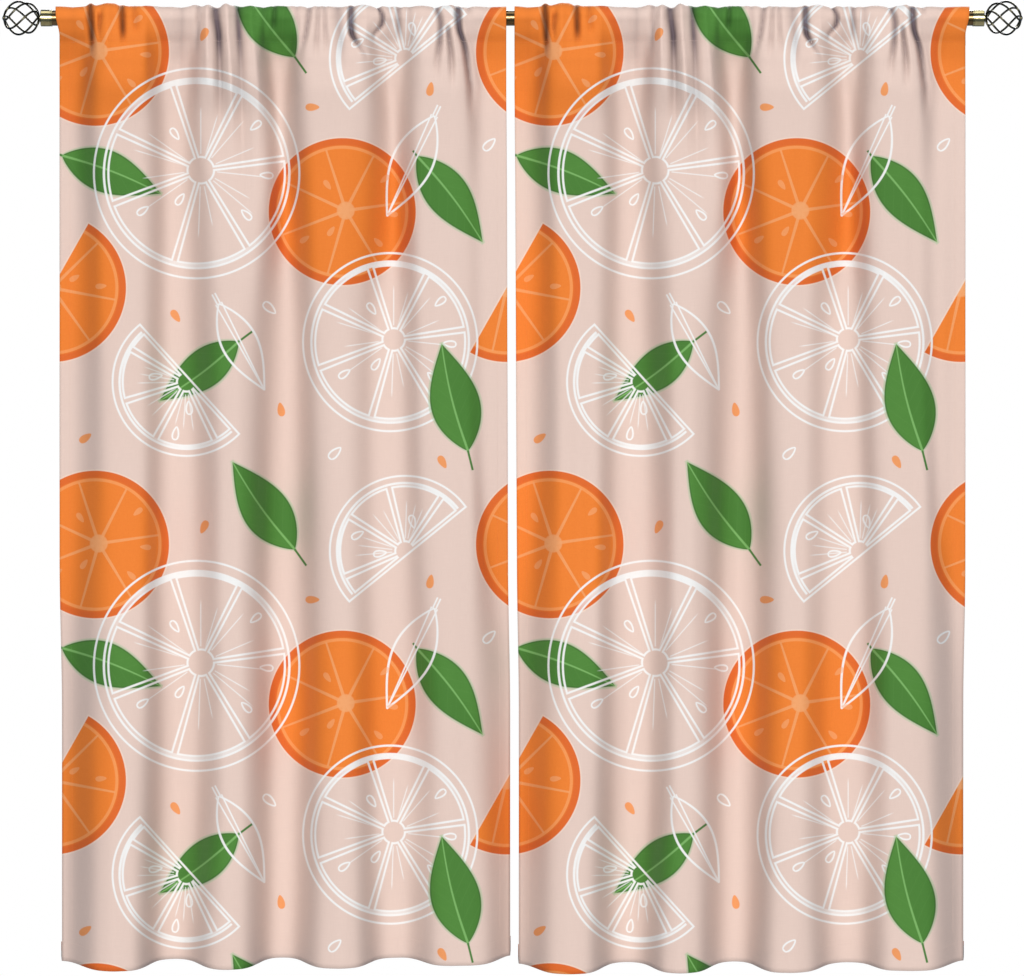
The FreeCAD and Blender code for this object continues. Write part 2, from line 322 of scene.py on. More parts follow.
def turned(dq, dp, degrees):
    """An offset in print units as (along, across) a direction."""
    c, s = math.cos(math.radians(degrees)), math.sin(math.radians(degrees))
    return dq * c - dp * s, -dq * s - dp * c


def slice_motifs(slices):
    """(q, p, direction, size, reach) of each slice on the cloth."""
    return [
        (cq, cp, way, kind * r, r)
        for q, p, r, kind, way in slices
        for cq, cp in tiled(q, p)
    ]


def leaf_motifs(leaves):
    found = []
    for base, tip, *more in leaves:
        dq, dp = tip[0] - base[0], tip[1] - base[1]
        long, way = math.hypot(dq, dp), math.degrees(math.atan2(-dp, dq))
        for cq, cp in tiled(*base):
            found.append((cq, cp, way, long, more))
    return found


def seed_motifs():
    found = [
        (cq, cp, way, kind) for q, p, way, kind in LOOSE_SEEDS for cq, cp in tiled(q, p)
    ]
    for slices, kind in ((WHITE_SLICES, 4), (ORANGE_SLICES, 3)):
        for q, p, r, form, _ in slices:
            if form == HALF:
                continue
            for a, b in SLICE_SEEDS:
                way = math.degrees(math.atan2(b, a)) + 180
                for cq, cp in tiled(q + a * r, p - b * r):
                    found.append((cq, cp, way, kind))
    return found


def print_attributes(mesh, corner_q, corner_p, face_q, face_p, face_of_corner):
    """Gives each face its nearest motif of each kind, as that motif's own coordinates at the face's corners."""

    def write(name, values):
        a = mesh.attributes.new(name, "FLOAT_VECTOR", "CORNER")
        a.data.foreach_set("vector", np.ascontiguousarray(values, np.float32).ravel())

    def local(q0, p0, way):
        c, s = np.cos(np.radians(way)), np.sin(np.radians(way))
        dq, dp = corner_q - q0, corner_p - p0
        return dq * c - dp * s, -dq * s - dp * c

    def choose(motifs, distance):
        best = np.full(len(face_q), 1e9)
        index = np.zeros(len(face_q), int)
        for k, m in enumerate(motifs):
            d = distance(m)
            closer = d < best
            best[closer], index[closer] = d[closer], k
        return index[face_of_corner]

    for name, slices in (("m_orange", ORANGE_SLICES), ("m_white", WHITE_SLICES)):
        motifs = slice_motifs(slices)
        k = choose(motifs, lambda m: np.hypot(face_q - m[0], face_p - m[1]) - m[4])
        m = np.array([[a[0], a[1], a[2], a[3]] for a in motifs])[k]
        along, across = local(m[:, 0], m[:, 1], m[:, 2])
        write(name, np.stack([along, across, m[:, 3]], 1))
    for name, leaves in (("m_leaf", LEAVES), ("m_wleaf", WHITE_LEAVES)):
        motifs = leaf_motifs(leaves)

        def off_axis(m):
            c, s = math.cos(math.radians(m[2])), math.sin(math.radians(m[2]))
            dq, dp = face_q - m[0], face_p - m[1]
            along, across = dq * c - dp * s, -dq * s - dp * c
            t = np.clip(along, -12, m[3])
            return np.hypot(along - t, across)

        k = choose(motifs, off_axis)
        m = np.array([[a[0], a[1], a[2], a[3]] for a in motifs])[k]
        along, across = local(m[:, 0], m[:, 1], m[:, 2])
        write(name, np.stack([along, across, m[:, 3]], 1))
        if name == "m_leaf":
            extra = np.array([a[4] for a in motifs], float)[k]
            write("m_leaf2", extra)
    motifs = seed_motifs()
    k = choose(motifs, lambda m: np.hypot(face_q - m[0], face_p - m[1]))
    m = np.array(motifs, float)[k]
    along, across = local(m[:, 0], m[:, 1], m[:, 2])
    write("m_seed", np.stack([along, across, m[:, 3]], 1))


INK_DEPTH = 0.72  # dyed cloth gives back less light than paper does


def ink(r, g, b):
    """A colour of the dyed cloth, from its display colour under full light."""
    return tuple(c * INK_DEPTH for c in lin(r, g, b)[:3]) + (1.0,)


PEACH = ink(237, 210, 196)


def draw_print(net):
    """The colour of the printed side."""
    (fx, fy, _), flat = net.attribute("flat")
    ground = net.colour(PEACH)

    # orange slices
    (a, b, size), _ = net.attribute("m_orange")
    radius = abs(size)
    is_half = net.math("LESS_THAN", size, 0.0)
    r = net.math("SQRT", a * a + b * b)
    # a full slice is round about a point a little beside its core
    aside = radius * (1.0 - is_half)
    ra, rb = a + aside * 0.048, b + aside * 0.014
    rc = net.math("SQRT", ra * ra + rb * rb)
    turn = net.math("ARCTAN2", b, a)
    frac = net.math("MULTIPLY_ADD", turn, 1 / (2 * math.pi), 0.5)
    spoke = net.nearest(frac, SPOKES)
    half_spoke = net.nearest(frac, HALF_SPOKES)
    way = spoke + is_half * (half_spoke - spoke)
    beside = r * abs(net.math("SINE", (frac - way) * (2 * math.pi)))
    cut = net.math("MULTIPLY_ADD", is_half, 1000.0, -1000.0) - a * is_half
    outside = net.most(rc - radius, cut)
    body = net.above(-outside, 0.0)
    halo = net.line(outside - 0.4, 1.0)
    wob = net.noise(flat, 60.0, 2.0) * 1.6 - 0.8
    rel = (r + wob) / radius
    c = net.mix(halo * 0.75, ground, ink(252, 226, 205))
    grain = net.noise(flat, 260.0, 3.0, 0.6)
    flesh = net.mix(grain, ink(250, 139, 52), ink(246, 130, 46))
    flesh = net.mix(net.above(radius * 0.9 - rc, 0.0, 3.0), net.mix(grain, ink(236, 106, 36), ink(230, 114, 48)), flesh)
    flesh = net.mix(net.line(rc - radius * 0.877, 1.5), flesh, ink(254, 158, 88))
    taper = 1.7 - rel * 0.9
    inner = net.above(radius * 0.87, rc, 1.0)
    flesh = net.mix(net.line(beside, taper) * inner * 0.78, flesh, ink(252, 170, 108))
    flesh = net.mix(net.above(radius * 0.12, r, 1.4) * 0.85, flesh, ink(250, 172, 112))
    c = net.mix(body, c, flesh)

    # leaves
    (a, b, size), _ = net.attribute("m_leaf")
    (stem_long, on_top, share), _ = net.attribute("m_leaf2")
    t = net.math("MULTIPLY", a / size, 1.0, clamp=True)
    wide = size * share * 0.232 * net.math("SINE", net.math("POWER", t, 0.82) * math.pi)
    bend = net.math("SINE", t * math.pi) * size * 0.02
    off = b - bend * 0.5
    inside = wide - abs(off)
    between = net.above(a, 0.0) * net.above(size - a, 0.0)
    blade = net.above(inside, 0.0, 1.2) * between
    near = net.above(inside, -2.0, 1.2) * net.above(a, -1.5) * net.above(size + 1.5 - a, 0.0)
    stem = net.line(b, 1.1) * net.above(a, -stem_long) * net.above(1.0 - a, 0.0)
    tone = net.noise(flat, 45.0, 2.0)
    green = net.mix(net.above(off - bend, 0.0, 5.0), ink(76, 131, 52), ink(84, 141, 58))
    green = net.mix(tone * 0.35, green, ink(72, 126, 50))
    veins = net.math("FRACT", (a - abs(off) * 1.25) / (size * 0.13))
    green = net.mix(net.line(veins - 0.5, 0.05, 0.08) * 0.05, green, ink(124, 178, 98))
    green = net.mix(net.line(inside - 0.6, 1.0) * 0.55, green, ink(56, 104, 42))
    green = net.mix(net.line(off - bend, 1.15 - t * 0.6) * 0.85, green, ink(134, 190, 108))
    leaf_ink = net.most(blade, stem)
    green = net.mix(net.math("MULTIPLY", stem, 1.0 - blade), green, ink(80, 128, 62))
    under = 1.0 - on_top
    c = net.mix(near * under * 0.55, c, ink(176, 206, 160))
    c = net.mix(leaf_ink * under, c, green)

    # white line drawing: slices
    (a, b, size), _ = net.attribute("m_white")
    radius = abs(size)
    is_half = net.math("LESS_THAN", size, 0.0)
    r = net.math("SQRT", a * a + b * b)
    aside = radius * (1.0 - is_half)
    ra, rb = a + aside * 0.040, (b + aside * 0.030) * (0.978 + 0.022 * is_half)
    rc = net.math("SQRT", ra * ra + rb * rb)
    frac = net.math("MULTIPLY_ADD", net.math("ARCTAN2", b, a), 1 / (2 * math.pi), 0.5)
    spoke, half_spoke = net.nearest(frac, SPOKES), net.nearest(frac, HALF_SPOKES)
    way = spoke + is_half * (half_spoke - spoke)
    beside = r * abs(net.math("SINE", (frac - way) * (2 * math.pi)))
    hair, half_hair = net.nearest(frac, HAIRS), net.nearest(frac, HALF_HAIRS)
    hair_way = hair + is_half * (half_hair - hair)
    beside_hair = r * abs(net.math("SINE", (frac - hair_way) * (2 * math.pi)))
    whole = net.math("MULTIPLY_ADD", is_half, -1000.0, 1000.0)  # 1000 for a full slice
    chord_out, chord_in = a + 5.0 + whole, a + 0.5 + whole
    outside = net.most(rc - radius, -chord_out)
    edge = net.line(outside + 0.9, 1.0)
    on_body = net.above(chord_in, 0.0)
    ring_out, ring_in = radius * 0.895, radius * 0.852
    ring = net.line(rc - ring_out, 1.15) * on_body
    half_shade = net.math("MULTIPLY_ADD", net.math("SINE", net.math("MULTIPLY_ADD", frac, 6 * math.pi, 2.2)), 0.62, 0.38, clamp=True)
    up, right = b / (r + 0.01), a / (r + 0.01)
    shade = net.math("MULTIPLY_ADD", up * up - right * right, 0.55, 0.42 + up * 0.35, clamp=True)
    shade = shade + is_half * (half_shade - shade)
    fill = net.above(rc, ring_in) * net.above(ring_out, rc) * on_body * shade
    core = radius * 0.128
    cell = net.least(net.least(r - core, ring_in - rc), net.least(beside - (1.6 + r / radius * 1.5), chord_in))
    cells = net.line(cell, 1.05)
    reach = 0.52 + net.math("FRACT", hair_way * 7.3) * 0.14
    hairs = net.line(beside_hair, 0.5, 0.9) * net.above(r, core + 3.0) * net.above(radius * reach, r, 6.0) * net.above(cell, 1.5)
    white = net.most(net.most(edge, ring), net.most(net.most(fill, cells), hairs * 0.85))

    # white line drawing: leaves
    (a, b, size), _ = net.attribute("m_wleaf")
    t = net.math("MULTIPLY", a / size, 1.0, clamp=True)
    wide = size * 0.185 * net.math("SINE", net.math("POWER", t, 0.88) * math.pi)
    inside = wide - abs(b)
    between = net.above(a, 0.0) * net.above(size - a, 0.0)
    outline = net.line(inside - 0.4, 1.15) * between
    ribs = net.line(abs(b) - (1.0 - t) * 3.2, 0.75) * between
    stalk = net.line(abs(b) - 1.6, 0.8) * net.above(a, -11.0) * net.above(1.0 - a, 0.0)
    white = net.most(white, net.most(net.most(outline, ribs), stalk))
    c = net.mix(white * 0.96, c, ink(253, 252, 248))

    # seeds
    (a, b, kind), _ = net.attribute("m_seed")
    is1, is2 = net.line(kind - 1.0, 0.5, 0.1), net.line(kind - 2.0, 0.5, 0.1)
    is3, is4 = net.line(kind - 3.0, 0.5, 0.1), net.line(kind - 4.0, 0.5, 0.1)
    long = 7.0 * is1 + 8.4 * is2 + 5.6 * is3 + 7.2 * is4
    fat = 3.6 * is1 + 4.4 * is2 + 2.6 * is3 + 3.7 * is4
    t = a / long
    wide = fat * net.math("SQRT", net.most(1.0 - t * t, 0.0)) * (1.0 - t * 0.32)
    inside = net.least(wide - abs(b), long - abs(a))
    solid = net.above(inside, 0.0)
    ring = net.line(inside - 0.9, 0.9)
    c = net.mix(solid * is1, c, ink(247, 160, 98))
    c = net.mix(solid * is3 * 0.55, c, ink(253, 176, 118))
    c = net.mix(ring * (is2 + is4) * 0.96, c, ink(253, 252, 248))

    # leaf drawn over the white
    c = net.mix(near * on_top * 0.55, c, ink(176, 206, 160))
    c = net.mix(leaf_ink * on_top, c, green)
    return c, fx, fy, flat


def cloth_material(name, faded):
    m = bpy.data.materials.new(name)
    net = Net(m)
    c, fx, fy, flat = draw_print(net)
    if faded:
        c = net.mix(0.62, c, ink(238, 222, 210))
    slub = net.noise(flat, 1.0, 3.0, 0.55, stretch=(900.0, 40.0, 1.0))
    slub2 = net.noise(flat, 1.0, 3.0, 0.55, stretch=(40.0, 900.0, 1.0))
    tone = slub * 0.5 + slub2 * 0.5
    c = net.mix(net.math("MULTIPLY_ADD", tone, 0.24, -0.04, clamp=True), c, (0.42, 0.36, 0.34, 1.0), "MULTIPLY")
    # painted shade: darkens the colour with a cool tint in the creases and valleys
    shade = net.node("ShaderNodeAttribute", attribute_name="painted_shade")
    painted_shade = Num(net, shade.outputs["Fac"])
    c = net.mix(painted_shade, c, (0.17, 0.165, 0.215, 1.0), "MULTIPLY")
    warp = net.math("SINE", fx * (2 * math.pi / 0.0009))
    weft = net.math("SINE", fy * (2 * math.pi / 0.0009))
    height = warp * weft * 0.25 + tone * 0.9
    net.shader(
        c,
        0.78,
        bump=height,
        depth=0.00012,
        strength=0.8,
        Specular_IOR_Level=0.2,
        Sheen_Weight=0.05,
        Sheen_Roughness=0.45,
    )
    return m


def thread_material():
    """Stitches, printed over with the cloth."""
    m = bpy.data.materials.new("stitch_thread")
    net = Net(m)
    c, fx, fy, flat = draw_print(net)
    twist = net.noise(net.object_place(), 900.0, 2.0)
    c = net.mix(twist * 0.3, c, (0.62, 0.55, 0.5, 1.0), "MULTIPLY")
    net.shader(c, 0.6, bump=twist, depth=0.00005, Sheen_Weight=0.1, Specular_IOR_Level=0.3)
    return m


# ---------------------------------------------------------------- the folds

TOP_P = 6.0
# centre of each slope of the folds, at several heights (p), from the left edge of a panel to its right edge
SLOPES = [
    [(20, 90), (76, 89), (120, 87.5), (205, 90.5), (340, 91.5), (510, 91), (690, 83), (810, 81.5), (905, 80), (970, 79)],
    [(20, 151), (76, 153), (120, 156), (205, 157), (340, 155), (510, 153.5), (690, 152), (810, 150), (905, 147.5), (970, 146.5)],
    [(20, 197), (76, 195), (120, 193), (205, 198.5), (340, 203.5), (510, 208), (690, 207), (810, 204.5), (905, 199.5), (970, 197)],
    [(20, 264), (76, 266), (120, 271), (205, 274.5), (340, 265), (510, 260), (690, 258.5), (810, 257.5), (905, 257), (970, 256)],
    [(20, 295), (76, 294), (120, 294), (205, 299), (340, 305), (510, 309), (690, 309.5), (810, 306.5), (905, 305), (970, 303)],
    [(20, 371), (76, 375), (120, 379.5), (205, 378), (340, 365), (510, 363), (690, 362.5), (810, 363.5), (905, 366.5), (970, 368)],
    [(20, 410), (76, 409), (120, 405.5), (205, 405.5), (340, 410.5), (510, 415.5), (690, 420.5), (810, 422), (905, 420), (970, 420)],
    [(20, 461), (48, 466), (76, 471), (120, 473), (205, 472.5), (340, 473), (510, 479), (690, 491), (810, 493), (905, 495.5), (970, 496)],
]
# how wide each slope is, at the same kind of places
WIDTHS = [
    [(20, 10), (76, 15.5), (120, 18), (205, 19), (340, 21.5), (510, 24.5), (690, 34), (810, 31.5), (970, 30)],
    [(20, 16), (76, 17), (120, 18), (205, 19), (340, 20), (510, 18.5), (690, 21), (810, 22.5), (970, 23)],
    [(20, 10), (76, 13), (120, 15), (205, 24), (340, 25), (510, 23.5), (690, 22), (970, 23)],
    [(20, 9), (76, 13), (120, 13), (205, 17.5), (340, 31), (510, 26.5), (690, 25.5), (970, 23.5)],
    [(20, 12), (76, 15.5), (120, 19.5), (205, 22), (340, 22.5), (510, 25), (690, 25), (970, 23)],
    [(20, 9), (76, 17), (120, 24), (205, 33), (340, 20.5), (510, 21.5), (690, 21.5), (810, 20), (970, 22.5)],
    [(20, 12), (76, 18), (120, 19.5), (205, 20), (340, 19), (510, 19), (690, 23), (970, 25)],
    [(20, 7), (76, 13), (120, 13.5), (205, 18), (340, 18.5), (510, 14), (690, 31.5), (810, 30), (970, 25)],
]
# how far back each valley and how far forward each crest lies, mm, + away, from one edge to the other
LEVELS = [
    [(20, 44), (120, 44), (205, 36), (340, 38), (510, 36), (690, 41), (970, 42)],
    [(20, -42), (76, -42), (120, -19), (205, -17), (340, -17), (510, -22), (690, -41), (970, -42)],
    [(20, 32), (76, 32), (120, 42), (205, 42), (340, 37), (510, 27), (690, 22), (810, 36), (970, 41)],
    [(20, -45), (76, -45), (120, -14), (205, -29), (340, -41), (510, -37), (690, -39), (970, -41)],
    [(20, 50), (76, 50), (120, 47), (205, 42), (340, 41), (970, 42)],
    [(20, -50), (76, -50), (120, -46), (205, -42), (340, -31), (510, -36), (690, -37), (810, -41), (970, -41)],
    [(20, 32), (76, 32), (120, 41), (205, 42), (340, 11), (510, 3), (690, 8), (810, 12), (905, 27), (970, 30)],
    [(20, -50), (76, -50), (120, -46), (205, -42), (340, -41), (690, -41), (810, -33), (970, -34)],
    [(20, 24), (76, 14), (120, -7), (205, -21), (340, -19), (510, -12), (690, 33), (810, 41), (970, 41)],
]

# short creases under the rod pocket: [(p, q) ...], depth mm (- stands proud), half width, where it fades (p)
CREASES = [
    ([(6, 90.5), (30, 91.5), (60, 91)], 8.0, 3.4, 62),
    ([(12, 100.2), (36, 98.5)], 5.0, 2.2, 40),
    ([(6, 108), (60, 106)], -2.6, 6.0, 70),
    ([(6, 122.4), (38, 123)], 7.0, 2.8, 46),
    ([(6, 134.5), (30, 136)], 3.2, 2.6, 34),
    ([(6, 146), (80, 146)], -1.2, 6.0, 90),
    ([(6, 182), (80, 180)], 2.4, 5.0, 90),
    ([(6, 199), (60, 197)], 3.6, 3.4, 70),
    ([(6, 206.5), (70, 207)], -3.2, 3.6, 95),
    ([(6, 215.5), (40, 219), (120, 220)], 9.0, 4.0, 150),
    ([(6, 227), (70, 230), (120, 232)], -4.2, 3.2, 150),
    ([(6, 238), (70, 241), (200, 243)], 6.5, 4.6, 235),
    ([(6, 251), (105, 258)], -3.4, 4.2, 200),
    ([(6, 264), (60, 263)], 2.4, 3.0, 80),
    ([(6, 275), (26, 274)], 4.6, 2.3, 32),
    ([(6, 283), (60, 284)], -1.6, 4.0, 80),
    ([(6, 297), (30, 297)], 2.4, 2.4, 34),
    ([(6, 309.5), (34, 306), (60, 300)], 4.6, 2.8, 66),
    ([(6, 318.5), (60, 316)], 3.2, 2.3, 64),
    ([(6, 324), (60, 327)], 3.2, 2.3, 62),
    ([(6, 338), (60, 341)], 3.6, 5.6, 84),
    ([(4, 351.2), (34, 351.8), (46, 358), (60, 367)], 10.0, 2.9, 60),
    ([(6, 366), (30, 366)], -3.6, 7.0, 44),
    ([(6, 374), (12, 379.5), (18, 382.5), (26, 381), (36, 374.5)], 7.4, 2.4, 40),
    ([(6, 389), (110, 388)], 1.8, 5.0, 140),
    ([(6, 398.5), (30, 399)], 4.8, 3.0, 44),
    ([(6, 410), (60, 412)], 2.6, 4.4, 66),
    ([(6, 421), (80, 420)], -1.6, 7.0, 100),
    ([(6, 436), (22, 440.5), (40, 440), (70, 437)], 6.0, 3.0, 84),
    ([(6, 450.5), (60, 452)], -1.6, 4.2, 60),
    ([(24, 448), (60, 451.5), (95, 452)], 6.6, 2.8, 96),
    ([(6, 458), (30, 459.6), (48, 465.2), (75, 469.6), (95, 471.6)], 10.5, 2.9, 126),
    ([(6, 468.5), (14, 469)], 2.8, 2.2, 16),
    ([(6, 74), (60, 74)], 1.2, 5.0, 80),
    ([(6, 489), (60, 488)], 1.3, 6.0, 90),
]
# small rises and dips of the gathered top edge: q, height mm, half width
TOP_BUMPS = [
    (64, 0.6, 4), (74, -0.6, 6), (91, 6.8, 3.0), (99, 1.0, 2.0), (106, 5.2, 5.2), (115, 4.4, 3.4), (123.5, 3.6, 2.6),
    (134.6, 2.4, 3.0), (150, 1.2, 5.0), (172, -0.8, 8), (196, 4.2, 4.0), (204, -0.6, 2.2), (210, 3.0, 2.6),
    (217.5, -1.2, 2.6), (225, 4.4, 2.8), (234, 3.0, 3.2), (243, 0.8, 3.0), (262, -0.6, 5.0), (275.5, 2.4, 3.0),
    (290, 0.8, 3.0), (298, 1.4, 4.0), (307, -0.8, 2.4), (316.5, 1.6, 2.2), (322.5, 1.8, 2.2), (335, 0.6, 4),
    (350.5, 3.2, 2.6), (362, 2.2, 5.0), (375, -2.4, 3.0), (383, 1.0, 3.0), (396, 1.2, 3.0), (401, -0.8, 2.0),
    (418, 0.8, 8.0), (434, -1.2, 3.0), (443, 1.8, 3.4), (452, 3.0, 3.0), (458.5, 1.4, 2.0), (465, -2.0, 2.4),
    (478, 0.4, 6.0), (497, -0.4, 6.0),
]

ROD_R, WRAP_R, SEAM_Y, SEAM_Z = 12.7, 13.7, -8.4, -40.0  # mm
CREASE_GAIN = 1.75
GROW = [(-1700, 40), (-420, 40), (-230, 38), (-120, 33), (-70, 25), (-40, 15), (-20, 6.5), (-5, 1.5), (60, 0.0)]


def fold_depth(q, p, z):
    """How far the cloth lies in front of (-) or behind (+) the rod's plane, mm. q, p, z are grids."""
    size = np.interp(z, [g[0] for g in GROW], [g[1] for g in GROW]) / 40.0
    y = track(LEVELS[0], p)
    for k, (centre, width) in enumerate(zip(SLOPES, WIDTHS)):
        c, w = track(centre, p), track(width, p) * 0.86
        step = track(LEVELS[k + 1], p) - track(LEVELS[k], p)
        t = 1.763 * (q - c) / w
        y += step * (0.5 + 0.40 * np.tanh(t) + 0.10 * np.tanh(t / 2.3))
    return y * size * (1 + 0.12 * smooth((p - 250) / 250))


def crease_depth(q, p, z):
    """Depth of the short creases, mm, + away."""
    y = np.zeros(q.shape)
    for line, depth, half, end in CREASES:
        start = line[0][0]
        c = track(line, p) if len(line) > 1 else np.full(p.shape, float(line[0][1]))
        spread = half * (1 + 0.35 * smooth((p - 40) / 110))
        on = smooth((p - start + 7) / 7) if start < 8 else smooth((p - start) / 6)
        fade = 1 - smooth((p - 0.45 * end - 6) / (0.55 * end))
        y += depth * on * fade * np.clip(1 - np.abs(q - c) / (1.75 * spread), 0, 1) ** 1.3
    return y * CREASE_GAIN


def wander(q, p, seed):
    """A small smooth unevenness, about -1 to 1."""
    rng = np.random.default_rng(seed)
    y = np.zeros(q.shape)
    for _ in range(14):
        kq, kp = rng.uniform(0.02, 0.16), rng.uniform(-0.008, 0.008)
        y += np.sin(kq * q + kp * p * 1.5 + rng.uniform(0, 6.28)) * rng.uniform(0.4, 1.0)
    return y / 4.2


def tangent(y, z, way):
    """Where a straight run from (y, z) meets the wrap over the rod, as an angle."""
    return math.atan2(z, y) + way * math.acos(WRAP_R / math.hypot(y, z))


def panel_rows():
    """The path of the cloth from the back of the rod pocket, over the rod and down: (y, z, out y, out z, part) per row, mm."""
    back_y = SEAM_Y + 1.6
    start, stop = tangent(back_y, SEAM_Z, 1), tangent(SEAM_Y, SEAM_Z, -1) + 2 * math.pi
    rows = [(back_y, z, 1.0, 0.0, 0) for z in (-46.0, -43.5)]
    y, z, out_y, out_z = WRAP_R * math.cos(start), WRAP_R * math.sin(start), math.cos(start), math.sin(start)
    for t in np.linspace(0, 1, 9)[:-1]:
        k = float(smooth(t * 37 / 12.0))
        rows.append((back_y + t * (y - back_y), SEAM_Z + t * (z - SEAM_Z), 1 + (out_y - 1) * k, out_z * k, 0))
    for f in np.linspace(start, stop, 22):
        rows.append((WRAP_R * math.cos(f), WRAP_R * math.sin(f), math.cos(f), math.sin(f), 1))
    y, z, out_y, out_z = WRAP_R * math.cos(stop), WRAP_R * math.sin(stop), math.cos(stop), math.sin(stop)
    for t in np.linspace(0, 1, 13)[1:]:
        k = float(smooth((1 - t) * 37 / 16.0))
        rows.append((y + t * (SEAM_Y - y), z + t * (SEAM_Z - z), -1 + (out_y + 1) * k, out_z * k, 2))
    z = SEAM_Z
    for step, count in ((4.2, 19), (9.0, 30), (18.6, 62), (8.0, 4)):
        for _ in range(count):
            z -= step
            rows.append((SEAM_Y + (-0.4 - SEAM_Y) * float(smooth((SEAM_Z - z) / 210.0)), z, -1.0, 0.0, 3))
    return np.array(rows)


def panel(side):
    """One panel as arrays: outer and inner surface, print place and flat place of each point."""
    shift = 0.0 if side == "left" else REPEAT_Q
    q_from, q_to = (59.7, 507.9) if side == "left" else (62.5, 510.8)
    # columns, closer together at the creases
    fine = np.linspace(q_from, q_to, 3000)
    weight = np.ones_like(fine)
    for line, depth, half, _ in CREASES:
        weight += 1.1 * min(1.0, abs(depth) / 6) * np.exp(-(((fine - line[0][1]) / 5.5) ** 2))
    run = np.concatenate([[0], np.cumsum((weight[1:] + weight[:-1]) / 2 * np.diff(fine))])
    q = np.interp(np.linspace(0, run[-1], 262), run, fine)
    rows = panel_rows()
    by, bz, ny, nz, part = rows.T
    n_rows, n_cols = len(rows), len(q)
    Q = np.broadcast_to(q, (n_rows, n_cols)).copy()
    Z = np.broadcast_to(bz[:, None], (n_rows, n_cols)).copy()
    PART = np.broadcast_to(part[:, None], (n_rows, n_cols))
    bottom = Z.min()
    drop = (-2.0, 8.0) if side == "left" else (-6.0, -1.0)
    target = -1576.0 + drop[0] + (drop[1] - drop[0]) * (Q - 60) / 448
    Z += (target - bottom) * smooth((-300 - Z) / (-300 - bottom)) ** 1.5
    P = AXIS_P - Z / (U * 1000)
    front = PART >= 1.5
    fold = fold_depth(Q, P, Z)
    crease = crease_depth(Q, P, Z)
    uneven = wander(Q, P, 5 if side == "left" else 6)
    uneven2 = wander(Q * 2.3, P * 0.6, 8 if side == "left" else 9)
    lift = np.zeros(n_cols)
    for c, h, s in TOP_BUMPS:
        lift += h * np.exp(-0.5 * ((q - c) / s) ** 2)
    # the pocket stands off the rod: more on top and in front, less behind
    up = np.clip(nz, 0, 1)[:, None]
    ahead = np.clip(-ny, 0, 1)[:, None]
    behind = np.clip(ny, 0, 1)[:, None]
    total = up**1.5 + ahead**1.5 + behind**1.5
    over_top = (4.6 + 1.0 * lift[None, :] + 0.25 * uneven) * up**1.5
    ripple = 0.9 * wander(Q * 3.2, P * 0.8, 31) * smooth((110 - P) / 60)
    in_front = (12.5 - crease + 0.5 * uneven + ripple) * ahead**1.5
    back_wave = 2.6 + 1.6 * wander(Q * 1.1, P * 0.3, 21)
    at_back = back_wave * behind**1.5
    puff = (over_top + in_front + at_back) / total
    # a front crease runs on up to the crown of the pocket
    puff -= 0.21 * np.clip(crease, -5, 13) * (up * (ahead > 0.02)) * (PART > 0.5)
    floor = np.where(Z > -16, 0.45, 0.45 - 9.0 * smooth((-16 - Z) / 20))
    puff = floor + np.logaddexp(0, (puff - floor) * 1.4) / 1.4
    # towards the seam the pocket closes
    near_seam = smooth((Z - SEAM_Z) / 26.0)
    seam_puff_back = 0.25 + 0.1 * uneven2
    stand = np.where(PART < 0.5, seam_puff_back + (puff - seam_puff_back) * near_seam, puff)
    Y = by[:, None] + ny[:, None] * stand
    Zp = Z + np.where(PART < 2.9, nz[:, None] * stand, 0.0)
    # front, from the pocket down: what the pocket gives melts into the folds
    settle = smooth((-12 - Z) / 75.0)
    proud = 12.0 * (1 - settle) + 0.3
    low = smooth((-6 - Z) / 34.0) * front
    Yf = by[:, None] - proud + crease * (1 - smooth((-90 - Z) / 160) * 0.35) + 0.5 * uneven - ripple
    Y = np.where(front, Y * (1 - low) + Yf * low, Y)
    Y = np.where(front, Y + fold, Y)
    # the whole pocket drifts a little with the folds under it
    Y += 0.9 * uneven2 * smooth((-60 - Z) / 200) * front
    # keep clear of the rod
    near = front & (Z > -ROD_R - 3)
    need = -np.sqrt(np.maximum((ROD_R + 0.75) ** 2 - np.clip(Zp, -ROD_R - 0.75, ROD_R + 0.75) ** 2, 0))
    Y = np.where(near, np.minimum(Y, need), Y)
    # the folds that stand forward dip a little at the hem
    Zp = Zp + 0.15 * Y * smooth((-1000 - Z) / 560) * front
    # the back layer lies just behind the front one below the seam and never crosses it; the side hems need more room
    seam_row = int(np.argmax(part >= 2.9)) - 1
    from_edge = np.minimum(np.arange(n_cols), n_cols - 1 - np.arange(n_cols))
    room = 1.45 + 2.3 * smooth((9.5 - from_edge) / 3.5)
    for i in range(n_rows):
        if part[i] < 0.5:
            k = int(np.argmax(bz[seam_row - 12 :] < bz[i])) + seam_row - 12
            t = (bz[i] - bz[k]) / (bz[k - 1] - bz[k])
            before = Y[k] * (1 - t) + Y[k - 1] * t
            slope = np.gradient(before) / np.gradient(q * U * 1000)
            gap = room * np.sqrt(1 + slope**2)
            if bz[i] <= SEAM_Z + 0.1:
                Y[i] = before + gap
            else:
                t = float(smooth((SEAM_Z + 14 - bz[i]) / 14.0))
                Y[i] = np.maximum(Y[i], before + gap) * (1 - t) + (before + gap) * t
